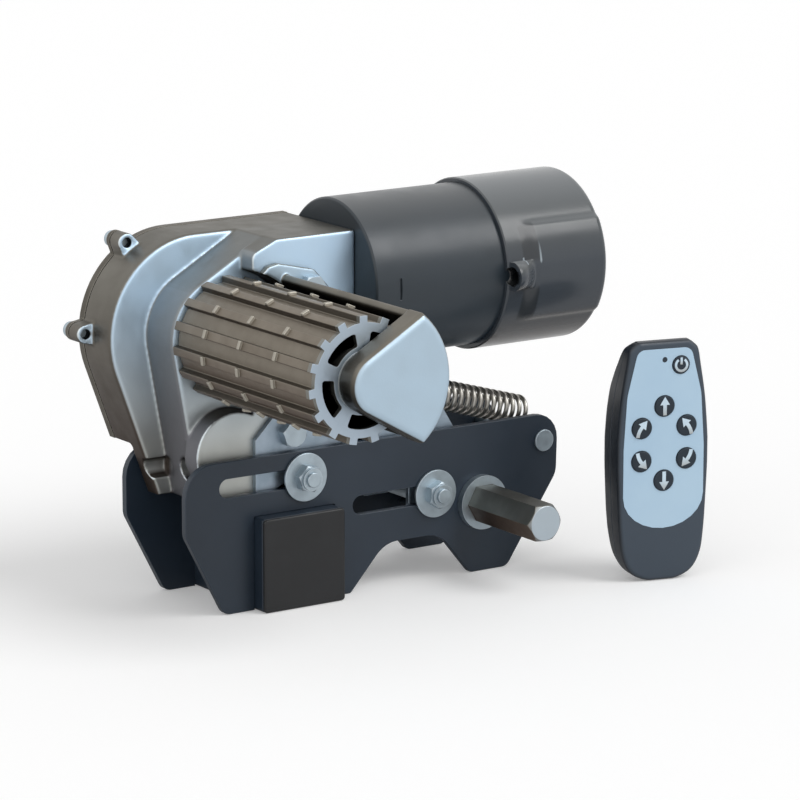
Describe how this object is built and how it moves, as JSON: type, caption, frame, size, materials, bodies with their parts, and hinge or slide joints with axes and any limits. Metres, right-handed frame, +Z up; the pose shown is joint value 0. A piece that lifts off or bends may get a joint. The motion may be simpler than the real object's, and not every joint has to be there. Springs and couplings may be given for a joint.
{
  "type": "caravan motor mover",
  "caption": "Friction-roller drive for a caravan wheel: geared motor and ribbed roller on a sliding carriage between two side plates, with a hand-held remote control.",
  "frame": {"origin": "underside of the square cross tube, below its axis, at the front face of the near side plate; this level is the ground that the plates' feet stand on", "axes": "+X along the motor's axis towards its end cover, +Y back towards the open end of the cross tube, +Z up; the drive roller points to -Y"},
  "size_m": [0.3106, 0.2068, 0.2098],
  "materials": {
    "plate_powder_coat": "satin dark blue-grey powder coat",
    "black_moulding": "fine moulded grain",
    "cast_aluminium": "shot-blasted die casting",
    "cover_casting": "as-cast, dull",
    "roller_alloy": "extruded and tumbled, dull",
    "zinc_plate": "bright zinc plating",
    "spring_steel": "bright drawn wire",
    "oiled_steel": "machined, lightly oiled",
    "hex_bar_steel": "drawn bar with a dull brown film",
    "wheel_bronze": "machined bronze",
    "nylon": "moulded natural nylon",
    "seal_rubber": "moulded rubber",
    "motor_can_paint": "semi-gloss black paint on rolled steel",
    "motor_cover_moulding": "glossy dark grey moulding",
    "ferrite": "sintered ferrite",
    "core_steel": "stacked laminations",
    "copper": "enamelled copper wire and turned copper",
    "brush_board": "pressed resin board",
    "carbon": "pressed carbon",
    "handset_shell": "fine textured moulding",
    "handset_face": "printed polyester film",
    "button_rubber": "moulded silicone rubber",
    "circuit_board": "green solder mask",
    "battery_can": "wrapped steel can",
    "lamp_lens": "smoked clear lens"
  },
  "bodies": {
    "base": {"near_side_plate": "plate_powder_coat", "far_side_plate": "plate_powder_coat", "cross_tube": "plate_powder_coat", "tube_end_cap": "black_moulding", "spring_post": "zinc_plate"},
    "carriage": {"gearbox_housing": "cast_aluminium", "gearbox_cover": "cover_casting", "cap_screws": "zinc_plate", "near_carriage_plate": "zinc_plate", "far_carriage_plate": "zinc_plate", "hex_bolts": "zinc_plate", "countersunk_screws": "zinc_plate", "guide_bolts": "zinc_plate", "guide_spacer": "zinc_plate", "slide_bushes": "nylon", "guide_washers": "zinc_plate", "lock_nuts": "zinc_plate", "rack_bar": "oiled_steel", "roller_bracket": "cast_aluminium", "roller_bearings": "oiled_steel", "gear_bearings": "oiled_steel", "shaft_seal": "seal_rubber", "motor_can": "motor_can_paint", "motor_end_cover": "motor_cover_moulding", "motor_magnets": "ferrite", "brush_plate": "brush_board", "carbon_brushes": "carbon", "spring_stud": "zinc_plate", "return_spring": "spring_steel"},
    "roller": {"roller_sleeve": "roller_alloy", "roller_end_disc": "cast_aluminium", "roller_back_web": "cover_casting", "output_shaft": "oiled_steel", "output_gear": "oiled_steel"},
    "layshaft_group": {"layshaft": "oiled_steel", "worm_wheel": "wheel_bronze", "layshaft_pinion": "oiled_steel"},
    "armature": {"armature_shaft": "oiled_steel", "worm": "oiled_steel", "armature_core": "core_steel", "armature_winding": "copper", "commutator": "copper"},
    "engaging_shaft": {"drive_hex_bar": "hex_bar_steel", "drive_bushes": "zinc_plate", "drive_pinion": "oiled_steel", "drive_clips": "oiled_steel"},
    "handset": {"handset_front_shell": "handset_shell", "handset_back_shell": "handset_shell", "handset_face_panel": "handset_face", "handset_board": "circuit_board", "handset_battery": "battery_can", "handset_lamp": "lamp_lens"},
    "power_key": {"button_power": "button_rubber"},
    "forward_key": {"button_forward": "button_rubber"},
    "reverse_key": {"button_reverse": "button_rubber"},
    "forward_left_key": {"button_forward_left": "button_rubber"},
    "forward_right_key": {"button_forward_right": "button_rubber"},
    "reverse_left_key": {"button_reverse_left": "button_rubber"},
    "reverse_right_key": {"button_reverse_right": "button_rubber"}
  },
  "joints": [
    {"name": "carriage_slide", "type": "slide", "parent": "base", "child": "carriage", "axis": [-1, 0, 0], "range_m": [0, 0.0471], "stiffness_N_per_m": 250, "springref_m": -0.02, "deforming": ["return_spring"]},
    {"name": "drive_shaft_turn", "type": "hinge", "parent": "base", "child": "engaging_shaft", "pos_m": [0.1186, 0, 0.0387], "axis": [0, -1, 0], "range_deg": [0, 168.86]},
    {"name": "roller_spin", "type": "hinge", "parent": "carriage", "child": "roller", "pos_m": [-0.0296, 0, 0.1429], "axis": [0, -1, 0], "continuous": true},
    {"name": "layshaft_spin", "type": "hinge", "parent": "carriage", "child": "layshaft_group", "pos_m": [0.01334, 0, 0.1333], "axis": [0, -1, 0], "continuous": true},
    {"name": "armature_spin", "type": "hinge", "parent": "carriage", "child": "armature", "pos_m": [0.09, 0.0307, 0.1633], "axis": [1, 0, 0], "continuous": true},
    {"name": "handset_lift_off", "type": "slide", "parent": "base", "child": "handset", "axis": [0, 0, 1], "range_m": [0, 0.1]},
    {"name": "button_power_press", "type": "slide", "parent": "handset", "child": "power_key", "axis": [0.2504, 0.9681, 0], "range_m": [0, 0.0008], "stiffness_N_per_m": 400},
    {"name": "button_forward_press", "type": "slide", "parent": "handset", "child": "forward_key", "axis": [0.2504, 0.9681, 0], "range_m": [0, 0.0008], "stiffness_N_per_m": 400},
    {"name": "button_reverse_press", "type": "slide", "parent": "handset", "child": "reverse_key", "axis": [0.2504, 0.9681, 0], "range_m": [0, 0.0008], "stiffness_N_per_m": 400},
    {"name": "button_forward_left_press", "type": "slide", "parent": "handset", "child": "forward_left_key", "axis": [0.2504, 0.9681, 0], "range_m": [0, 0.0008], "stiffness_N_per_m": 400},
    {"name": "button_forward_right_press", "type": "slide", "parent": "handset", "child": "forward_right_key", "axis": [0.2504, 0.9681, 0], "range_m": [0, 0.0008], "stiffness_N_per_m": 400},
    {"name": "button_reverse_left_press", "type": "slide", "parent": "handset", "child": "reverse_left_key", "axis": [0.2504, 0.9681, 0], "range_m": [0, 0.0008], "stiffness_N_per_m": 400},
    {"name": "button_reverse_right_press", "type": "slide", "parent": "handset", "child": "reverse_right_key", "axis": [0.2504, 0.9681, 0], "range_m": [0, 0.0008], "stiffness_N_per_m": 400}
  ],
  "couplings": [
    {"joint": "drive_shaft_turn", "follows": "carriage_slide", "rad_per_m": 62.5},
    {"joint": "layshaft_spin", "follows": "roller_spin", "ratio": -2.6667},
    {"joint": "armature_spin", "follows": "roller_spin", "ratio": -58.667}
  ]
}
